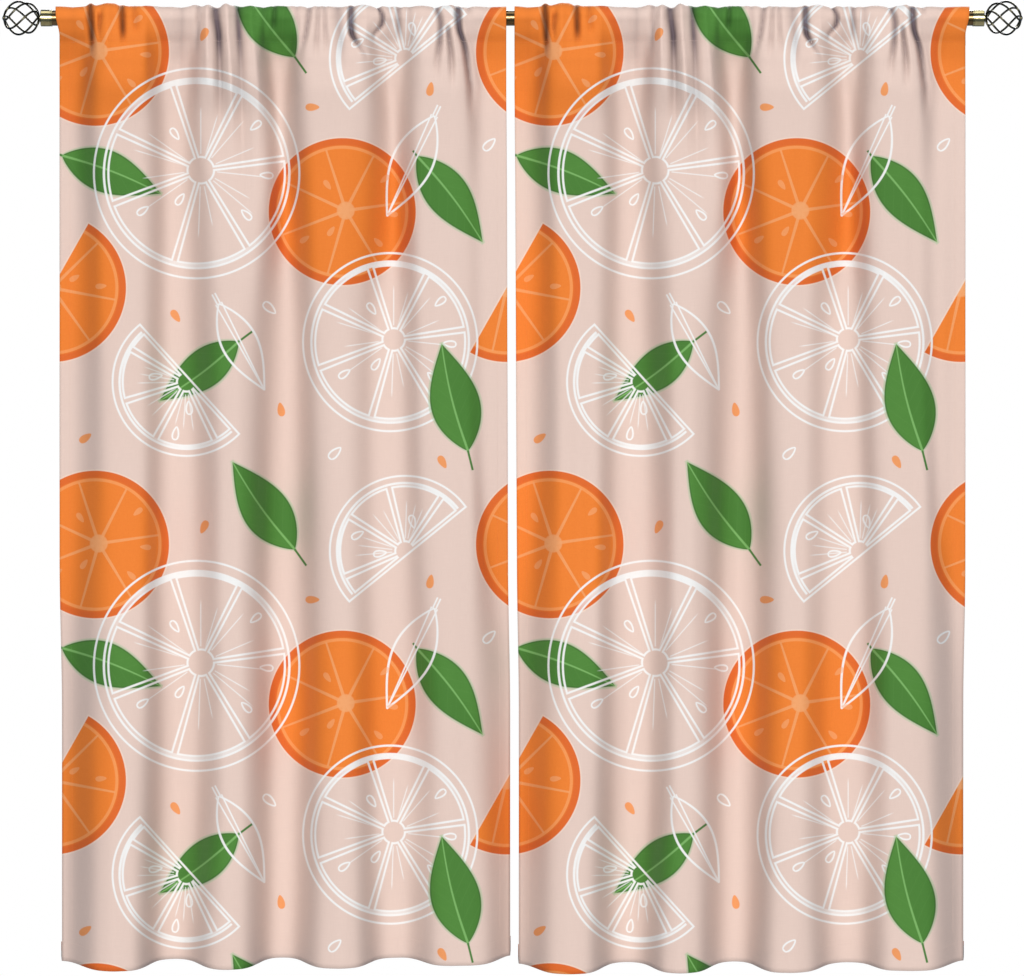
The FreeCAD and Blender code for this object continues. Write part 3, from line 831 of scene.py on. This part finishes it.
    # the outer corners of the pocket flare a little
    flare = -4.0 if side == "left" else 4.0
    edge_q = q_from if side == "left" else q_to
    reach = np.exp(-np.abs(Q - edge_q) / 11.0)
    Qs = Q + flare * reach * smooth((P * -1 + 36) / 22.0)
    pull, inner_q = (-1.8, q_to) if side == "left" else (-2.3, q_from)
    Qs = Qs + pull * np.exp(-np.abs(Q - inner_q) / 9.0) * np.interp(P, (90, 200, 340, 560), (1.0, 0.6, 0.4, 0.0))
    across_share = (Q - q_from) / (q_to - q_from)
    lean = 2.3 if side == "left" else 1.8 - 3.8 * across_share
    Qs = Qs + lean * smooth((P - 560) / 150.0)
    # lay the hung width out as it is judged from the front
    X = (Qs + shift - AXIS_Q) * U * 1000
    Ys = np.where(PART < 1.5, np.minimum(Y, 0.0), Y)
    scale = (EYE_D * 1000 + Ys) / (EYE_D * 1000)
    X = EYE_X * 1000 + (X - EYE_X * 1000) * scale
    pos = np.stack([X, Y, Zp], 2) / 1000.0
    # print place
    k = EYE_D / (EYE_D + pos[:, :, 1])
    PP = AXIS_P - ((pos[:, :, 2] - EYE_Z) * k + EYE_Z) / U
    QQ = Qs.copy()
    top = int(np.argmin(np.abs(part - 1) * 1e3 + np.abs(nz - 0.85) + (ny > 0) * 10))
    step = np.linalg.norm(np.diff(pos, axis=0), axis=2) / U
    for i in range(top - 1, -1, -1):
        PP[i] = PP[i + 1] - step[i]
    # flat place, in metres
    down = np.concatenate([np.zeros((1, n_cols)), np.cumsum(step, 0)]) * U
    down = np.broadcast_to(down.mean(1)[:, None], down.shape)
    across_step = np.linalg.norm(np.diff(pos, axis=1), axis=2)
    mid = across_step[int(n_rows * 0.6)]
    across = np.concatenate([[0], np.cumsum(mid)])
    across = np.broadcast_to(across[None, :], down.shape)
    # normals of the printed side
    d_down = np.gradient(pos, axis=0)
    d_across = np.gradient(pos, axis=1)
    normal = np.cross(d_down, d_across)
    normal /= np.maximum(np.linalg.norm(normal, axis=2, keepdims=True), 1e-12)
    # painted shade: how strongly each place is darkened for lying in a crease or a valley, 0 to 1
    painted_fold_shade = 0.95 * smooth(np.clip(crease, 0, None) / 13.0) * (front | ((ahead + 0 * Q) > 0.05))
    painted_fold_shade = painted_fold_shade * np.interp(P, (38, 62, 120), (1.0, 0.5, 0.0))
    # a little painted shade in the valleys of the vertical folds as well
    even = np.linspace(q_from, q_to, 450)
    for i in range(n_rows):
        if part[i] > 1.5:
            line = np.interp(even, q, Y[i])
            wide = np.convolve(np.pad(line, 14, mode="edge"), np.full(29, 1 / 29.0), mode="valid")
            painted_fold_shade[i] += 0.09 * np.clip((line - wide) / 11.0, 0, 1)[np.clip(np.searchsorted(even, q), 0, 449)]
    painted_fold_shade = np.clip(painted_fold_shade, 0, 1)
    return dict(pos=pos, normal=normal, q=QQ, p=PP, across=across, down=down, part=part, seam_row=seam_row, painted_fold_shade=painted_fold_shade)


SIDE_HEM, BOTTOM_HEM = 6, 5  # columns and rows turned to the back


def hemmed(g):
    """Adds the side hems and the bottom hem, turned to the back."""
    pos, n, q, p, across, down, painted_fold_shade = (g[k] for k in ("pos", "normal", "q", "p", "across", "down", "painted_fold_shade"))
    t = CLOTH_T

    def side(j0, order):
        """Columns turned back at the edge column j0, walking inwards over order."""
        cols = []
        edge_p, edge_n = pos[:, j0], n[:, j0]
        out = pos[:, j0] - pos[:, order[0]]
        out /= np.maximum(np.linalg.norm(out, axis=1, keepdims=True), 1e-9)
        sign = -1 if j0 == 0 else 1
        gap = 0.0007
        cols.append((edge_p + out * 0.00035 - edge_n * (gap + t) * 0.5, edge_p - edge_n * (gap + t) * 0.5, q[:, j0] + sign * 0.4, p[:, j0], across[:, j0] + sign * 0.0006, down[:, j0], painted_fold_shade[:, j0]))
        gone = np.zeros(len(pos))
        last = edge_p
        for j in order:
            gone = gone + np.linalg.norm(pos[:, j] - last, axis=1)
            last = pos[:, j]
            o = pos[:, j] - n[:, j] * (gap + t)
            cols.append((o, o + n[:, j] * t, q[:, j0] + sign * (0.6 + gone / U), p[:, j], across[:, j0] + sign * gone, down[:, j], painted_fold_shade[:, j]))
        return cols

    left = side(0, list(range(1, SIDE_HEM)))
    right = side(pos.shape[1] - 1, [pos.shape[1] - 1 - k for k in range(1, SIDE_HEM)])
    main = [(pos[:, j], pos[:, j] - n[:, j] * t, q[:, j], p[:, j], across[:, j], down[:, j], painted_fold_shade[:, j]) for j in range(pos.shape[1])]
    cols = left[::-1] + main + right
    O, I, Q, P, A, Dn, H = (np.stack([c[k] for c in cols], 1) for k in range(7))
    # normals for the bottom hem: the way the inner surface lies from the outer one
    back = I - O
    back /= np.maximum(np.linalg.norm(back, axis=2, keepdims=True), 1e-9)
    hem_cols = np.zeros(O.shape[1], bool)
    hem_cols[: len(left)] = True
    hem_cols[-len(right) :] = True
    main_back = back.copy()
    main_back[:, hem_cols] *= -1  # on a turned column the back of the panel is the other way
    index = np.arange(O.shape[1])
    near_side = np.minimum(index, O.shape[1] - 1 - index) < 2 * SIDE_HEM + 1
    depth = np.where(hem_cols, 0.0009, np.where(near_side, 0.0032, 0.0026))
    rows_o, rows_i, rows_q, rows_p, rows_a, rows_d = [], [], [], [], [], []
    last = O[-1]
    gone = np.zeros(O.shape[1])
    bottom_o = O[-1] + np.array([0, 0, -0.0004]) + main_back[-1] * (depth * 0.5)[:, None]
    rows_o.append(bottom_o)
    rows_i.append(bottom_o + np.array([0, 0, 0.0004]))
    rows_q.append(Q[-1]), rows_p.append(P[-1] + 0.4), rows_a.append(A[-1]), rows_d.append(Dn[-1] + 0.0006)
    for k in range(1, BOTTOM_HEM):
        r = O.shape[0] - 1 - k
        gone = gone + np.linalg.norm(O[r] - last, axis=1)
        last = O[r]
        o = O[r] + main_back[r] * depth[:, None]
        flip = np.where(hem_cols, -1.0, 1.0)[:, None]
        rows_o.append(o)
        rows_i.append(o - main_back[r] * flip * t)
        rows_q.append(Q[-1]), rows_p.append(P[-1] + 0.6 + gone / U)
        rows_a.append(A[-1]), rows_d.append(Dn[-1] + gone)
    O = np.concatenate([O, np.stack(rows_o)])
    I = np.concatenate([I, np.stack(rows_i)])
    Q = np.concatenate([Q, np.stack(rows_q)])
    P = np.concatenate([P, np.stack(rows_p)])
    A = np.concatenate([A, np.stack(rows_a)])
    Dn = np.concatenate([Dn, np.stack(rows_d)])
    H = np.concatenate([H, np.repeat(H[-1:], len(rows_o), 0)])
    return O, I, Q, P, A, Dn, H


def build_panel(side, front_material, back_material):
    g = panel(side)
    O, I, Q, P, A, Dn, H = hemmed(g)
    R, C = Q.shape
    count = R * C
    verts = np.concatenate([O.reshape(-1, 3), I.reshape(-1, 3)])
    idx = np.arange(count).reshape(R, C)
    a, b, c, d = idx[:-1, :-1], idx[1:, :-1], idx[1:, 1:], idx[:-1, 1:]
    outer = np.stack([a, b, c, d], 2).reshape(-1, 4)
    inner = np.stack([a, d, c, b], 2).reshape(-1, 4) + count
    ring = np.concatenate([idx[:, 0], idx[-1, 1:], idx[-2::-1, -1], idx[0, -2:0:-1]])
    nxt = np.roll(ring, -1)
    rim = np.stack([nxt, ring, ring + count, nxt + count], 1)
    faces = np.concatenate([outer, inner, rim])
    mesh = bpy.data.meshes.new(f"{side}_curtain_panel")
    mesh.from_pydata(verts.tolist(), [], faces.tolist())
    mesh.update()
    n_faces = len(faces)
    if len(mesh.polygons) != n_faces:
        raise RuntimeError("the panel mesh lost faces")
    mesh.polygons.foreach_set("use_smooth", np.ones(n_faces, bool))
    side_of = np.zeros(n_faces, np.int32)
    side_of[len(outer) : len(outer) + len(inner)] = 1
    mesh.materials.append(front_material)
    mesh.materials.append(back_material)
    mesh.polygons.foreach_set("material_index", side_of)
    # print and flat coordinates at the corners
    loop_vert = faces.reshape(-1)
    flat_index = loop_vert % count
    cq, cp = Q.reshape(-1)[flat_index], P.reshape(-1)[flat_index]
    face_of_corner = np.repeat(np.arange(n_faces), 4)
    fq, fp = cq.reshape(-1, 4).mean(1), cp.reshape(-1, 4).mean(1)
    print_attributes(mesh, cq, cp, fq, fp, face_of_corner)
    flat = np.stack([A.reshape(-1)[flat_index], -Dn.reshape(-1)[flat_index], np.zeros(len(flat_index))], 1)
    at = mesh.attributes.new("flat", "FLOAT_VECTOR", "CORNER")
    at.data.foreach_set("vector", flat.astype(np.float32).ravel())
    # painted shade of the creases and valleys, kept on each corner
    painted_shade = mesh.attributes.new("painted_shade", "FLOAT", "CORNER")
    painted_shade.data.foreach_set("value", H.reshape(-1)[flat_index].astype(np.float32))
    # a tidy map of the cloth, printed side on the left half, reverse on the right
    uu = np.broadcast_to(np.linspace(0, 1, C)[None, :], (R, C)).reshape(-1)
    length = np.broadcast_to((Dn.mean(1) / Dn.mean(1).max())[:, None], (R, C))
    order = np.concatenate([[0], np.cumsum(np.abs(np.diff(Dn.mean(1))) + 1e-6)])
    vv = 1 - np.broadcast_to((order / order[-1])[:, None], (R, C)).reshape(-1)
    u = 0.004 + 0.488 * uu[flat_index]
    v = 0.004 + 0.992 * vv[flat_index]
    inner_corner = face_of_corner.reshape(-1) >= len(outer)
    u = np.where(inner_corner, 0.996 - 0.488 * uu[flat_index], u)
    rim_corner = face_of_corner >= len(outer) + len(inner)
    around = np.repeat(np.arange(len(rim)), 4) / len(rim)
    along = np.tile([1, 0, 0, 1], len(rim)) / len(rim)
    layer = np.tile([0, 0, 1, 1], len(rim))
    u[rim_corner] = 0.4945 + 0.011 * layer
    v[rim_corner] = 0.002 + 0.996 * (around + along)
    uv = mesh.uv_layers.new(name="OFBake")
    uv.data.foreach_set("uv", np.stack([u, v], 1).astype(np.float32).ravel())
    obj = bpy.data.objects.new(f"{side}_curtain_panel", mesh)
    scene.collection.objects.link(obj)
    return obj, g


def stitch_mesh(name, runs, material):
    """Lines of short stitches. A run is points, normals and (print q, print p, flat across, flat down) along it."""
    verts, faces, places = [], [], []
    sides = 6
    for points, normals, laid in runs:
        seg = np.linalg.norm(np.diff(points, axis=0), axis=1)
        run = np.concatenate([[0], np.cumsum(seg)])
        pitch, long, thick = 0.0036, 0.0027, 0.00022
        count = int(run[-1] / pitch)
        for k in range(count):
            s0 = (k + 0.15) * pitch
            at = s0 + np.linspace(0, long, 4)
            pts = np.stack([np.interp(at, run, points[:, i]) for i in range(3)], 1)
            nrm = np.stack([np.interp(at, run, normals[:, i]) for i in range(3)], 1)
            here = np.stack([np.interp(at, run, laid[:, i]) for i in range(4)], 1)
            nrm /= np.linalg.norm(nrm, axis=1, keepdims=True)
            lift = np.array([-0.00012, 0.00016, 0.00016, -0.00012])[:, None]
            pts = pts + nrm * lift
            tan = np.gradient(pts, axis=0)
            tan /= np.linalg.norm(tan, axis=1, keepdims=True)
            other = np.cross(tan, nrm)
            base = len(verts)
            for i in range(4):
                for a in range(sides):
                    f = 2 * math.pi * a / sides
                    verts.append(pts[i] + (nrm[i] * math.cos(f) + other[i] * math.sin(f)) * thick)
                    places.append(here[i])
            for i in range(3):
                for a in range(sides):
                    b = (a + 1) % sides
                    faces.append((base + i * sides + a, base + i * sides + b, base + (i + 1) * sides + b, base + (i + 1) * sides + a))
            faces.append(tuple(base + a for a in range(sides))[::-1])
            faces.append(tuple(base + 3 * sides + a for a in range(sides)))
    mesh = bpy.data.meshes.new(name)
    mesh.from_pydata([tuple(v) for v in verts], [], faces)
    mesh.update()
    mesh.polygons.foreach_set("use_smooth", np.ones(len(faces), bool))
    mesh.materials.append(material)
    corner = np.array([v for f in faces for v in f])
    face_of_corner = np.repeat(np.arange(len(faces)), [len(f) for f in faces])
    cq, cp, ca, cd = np.array(places)[corner].T
    share = np.bincount(face_of_corner)
    fq, fp = np.bincount(face_of_corner, cq) / share, np.bincount(face_of_corner, cp) / share
    print_attributes(mesh, cq, cp, fq, fp, face_of_corner)
    flat = mesh.attributes.new("flat", "FLOAT_VECTOR", "CORNER")
    flat.data.foreach_set("vector", np.stack([ca, -cd, np.zeros(len(ca))], 1).astype(np.float32).ravel())
    obj = bpy.data.objects.new(name, mesh)
    scene.collection.objects.link(obj)
    return obj


printed = cloth_material("printed_cloth_face", False)
reverse = cloth_material("printed_cloth_reverse", True)
thread = thread_material()
for side in ("left", "right"):
    cloth, g = build_panel(side, printed, reverse)
    pos, n = g["pos"], g["normal"]
    seam = g["seam_row"]
    z = pos[:, :, 2].mean(1)
    hem_row = int(np.argmin(np.abs(z - (z[-1] + 0.0285))))
    laid = np.stack([g["q"], g["p"], g["across"], g["down"]], 2)
    runs = [(pos[seam], n[seam], laid[seam]), (pos[hem_row], n[hem_row], laid[hem_row])]
    for j in (4, pos.shape[1] - 5):
        down = slice(seam + 2, hem_row)
        runs.append((pos[down, j], n[down, j], laid[down, j]))
    stitches = stitch_mesh(f"{side}_panel_stitches", runs, thread)
    for piece in (cloth, stitches):
        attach(piece, "root")
        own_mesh(piece)
    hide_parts(*[f"{side}_panel_gather_{k}" for k in range(1, 9)])
    wide = float(np.linalg.norm(np.diff(pos[int(len(pos) * 0.75)], axis=0), axis=1).sum()) + 0.036
    long = float(np.linalg.norm(np.diff(pos[:, 100], axis=0), axis=1).sum()) + 0.035
    print("panel", side, "laid flat", round(wide, 3), round(long, 3))


# ---------------------------------------------------------------- metals and plastics


def metal(name, base, worn, rough, streak=None, bump=0.00003, **fixed):
    m = bpy.data.materials.new(name)
    net = Net(m)
    place = net.object_place()
    cloud = net.noise(place, 60.0, 4.0, 0.6)
    specks = net.noise(place, 420.0, 3.0, 0.6)
    mixed = net.mix(net.math("MULTIPLY_ADD", cloud, 2.2, -0.75, clamp=True), base, worn)
    mixed = net.mix(net.math("MULTIPLY_ADD", specks, 1.2, -0.55, clamp=True) * 0.5, mixed, worn)
    r = net.math("MULTIPLY_ADD", cloud, 0.16, rough - 0.08) + specks * 0.05
    height = specks
    if streak is not None:
        lines = net.noise(place, 1.0, 2.0, 0.5, stretch=streak)
        r = r + lines * 0.10 - 0.05
        height = specks * 0.4 + lines * 0.8
        mixed = net.mix(lines * 0.25, mixed, worn)
    net.shader(mixed, r, bump=height, depth=bump, Metallic=1.0, **fixed)
    return m


def plastic(name, base, other):
    m = bpy.data.materials.new(name)
    net = Net(m)
    place = net.object_place()
    cloud = net.noise(place, 90.0, 3.0)
    grain = net.noise(place, 1400.0, 2.0)
    net.shader(net.mix(cloud, base, other), net.math("MULTIPLY_ADD", grain, 0.2, 0.4), bump=grain, depth=0.00004)
    return m


rod_metal = metal("rod_metal", lin(76, 62, 42), lin(104, 86, 58), 0.25, streak=(12.0, 1500.0, 1500.0))
brass = metal("collar_brass", lin(158, 149, 110), lin(122, 112, 76), 0.2, streak=(60.0, 900.0, 900.0))
cage = metal("cage_metal", lin(52, 50, 42), lin(92, 88, 66), 0.24)
steel = metal("bare_steel", lin(170, 170, 168), lin(130, 128, 122), 0.3)
plug = plastic("plug_plastic", lin(46, 44, 42), lin(60, 58, 54))


def dress(material, *names):
    for name in names:
        mesh = nodes[name].data
        mesh.materials.clear()
        mesh.materials.append(material)


dress(rod_metal, "rod_tube")
for side in ("left", "right"):
    dress(plug, f"{side}_rod_plug")
    dress(steel, f"{side}_plug_nut", f"{side}_finial_stud")
    dress(brass, f"{side}_finial_collar")
    dress(cage, f"{side}_finial_hub", f"{side}_finial_wires", f"{side}_finial_nose")


# ---------------------------------------------------------------- floor and light


def floor_disc():
    m = bpy.data.materials.new("studio_floor")
    net = Net(m)
    place = net.object_place()
    net.shader(net.mix(net.noise(place, 3.0), lin(232, 231, 229), lin(226, 225, 223)), 0.9)
    rings, spokes = 14, 96
    verts = [(0.0, 0.0, 0.0)]
    for i in range(1, rings + 1):
        r = 2.1 * i / rings
        for k in range(spokes):
            f = 2 * math.pi * k / spokes
            verts.append((r * math.cos(f), r * math.sin(f), 0.0))
    faces = [(0, 1 + k, 1 + (k + 1) % spokes) for k in range(spokes)]
    for i in range(rings - 1):
        for k in range(spokes):
            a, b = 1 + i * spokes + k, 1 + i * spokes + (k + 1) % spokes
            faces.append((a, a + spokes, b + spokes, b))
    mesh = bpy.data.meshes.new("studio_floor")
    mesh.from_pydata(verts, [], faces)
    mesh.materials.append(m)
    obj = bpy.data.objects.new("studio_floor", mesh)
    obj.location = (0, 0, -2.2)
    scene.collection.objects.link(obj)
    obj.visible_diffuse = False


floor_disc()

world = bpy.data.worlds.new("studio")
scene.world = world
world.use_nodes = True
tree = world.node_tree
tree.nodes.clear()
where = tree.nodes.new("ShaderNodeTexCoord")
split = tree.nodes.new("ShaderNodeSeparateXYZ")
depth = tree.nodes.new("ShaderNodeMath")
depth.operation = "ABSOLUTE"
ramp = tree.nodes.new("ShaderNodeValToRGB")
ramp.color_ramp.interpolation = "EASE"
ramp.color_ramp.elements[0].position = 0.55
ramp.color_ramp.elements[0].color = (0.03, 0.072, 0.13, 1)
ramp.color_ramp.elements[1].position = 0.95
ramp.color_ramp.elements[1].color = (0.265, 0.335, 0.425, 1)
bg = tree.nodes.new("ShaderNodeBackground")
bg.inputs["Strength"].default_value = 1.0
out = tree.nodes.new("ShaderNodeOutputWorld")
tree.links.new(where.outputs["Generated"], split.inputs[0])
tree.links.new(split.outputs["Y"], depth.inputs[0])
tree.links.new(depth.outputs[0], ramp.inputs[0])
tree.links.new(ramp.outputs[0], bg.inputs["Color"])
seen = tree.nodes.new("ShaderNodeBackground")  # the plain white that shows behind the object
seen.inputs["Color"].default_value = (1, 1, 1, 1)
path = tree.nodes.new("ShaderNodeLightPath")
both = tree.nodes.new("ShaderNodeMixShader")
tree.links.new(path.outputs["Is Camera Ray"], both.inputs[0])
tree.links.new(bg.outputs[0], both.inputs[1])
tree.links.new(seen.outputs[0], both.inputs[2])
tree.links.new(both.outputs[0], out.inputs["Surface"])


def sun(name, power, tint, angle, elevation, azimuth):
    """Soft parallel light. Azimuth 0 comes from the front."""
    data = bpy.data.lights.new(name, "SUN")
    data.energy, data.color, data.angle = power, tint, math.radians(angle)
    obj = bpy.data.objects.new(name, data)
    e, a = math.radians(elevation), math.radians(azimuth)
    back = (math.sin(a) * math.cos(e), -math.cos(a) * math.cos(e), math.sin(e))
    from mathutils import Vector

    obj.rotation_mode = "QUATERNION"
    obj.rotation_quaternion = Vector(back).to_track_quat("Z", "Y")
    scene.collection.objects.link(obj)


sun("front_soft", 3.74, (1.0, 0.974, 0.95), 12, 7, 0)
sun("back_soft", 2.4, (1.0, 0.99, 0.98), 25, 25, 170)
sun("top_soft", 1.3, (1.0, 1.0, 1.0), 40, 86, 0)
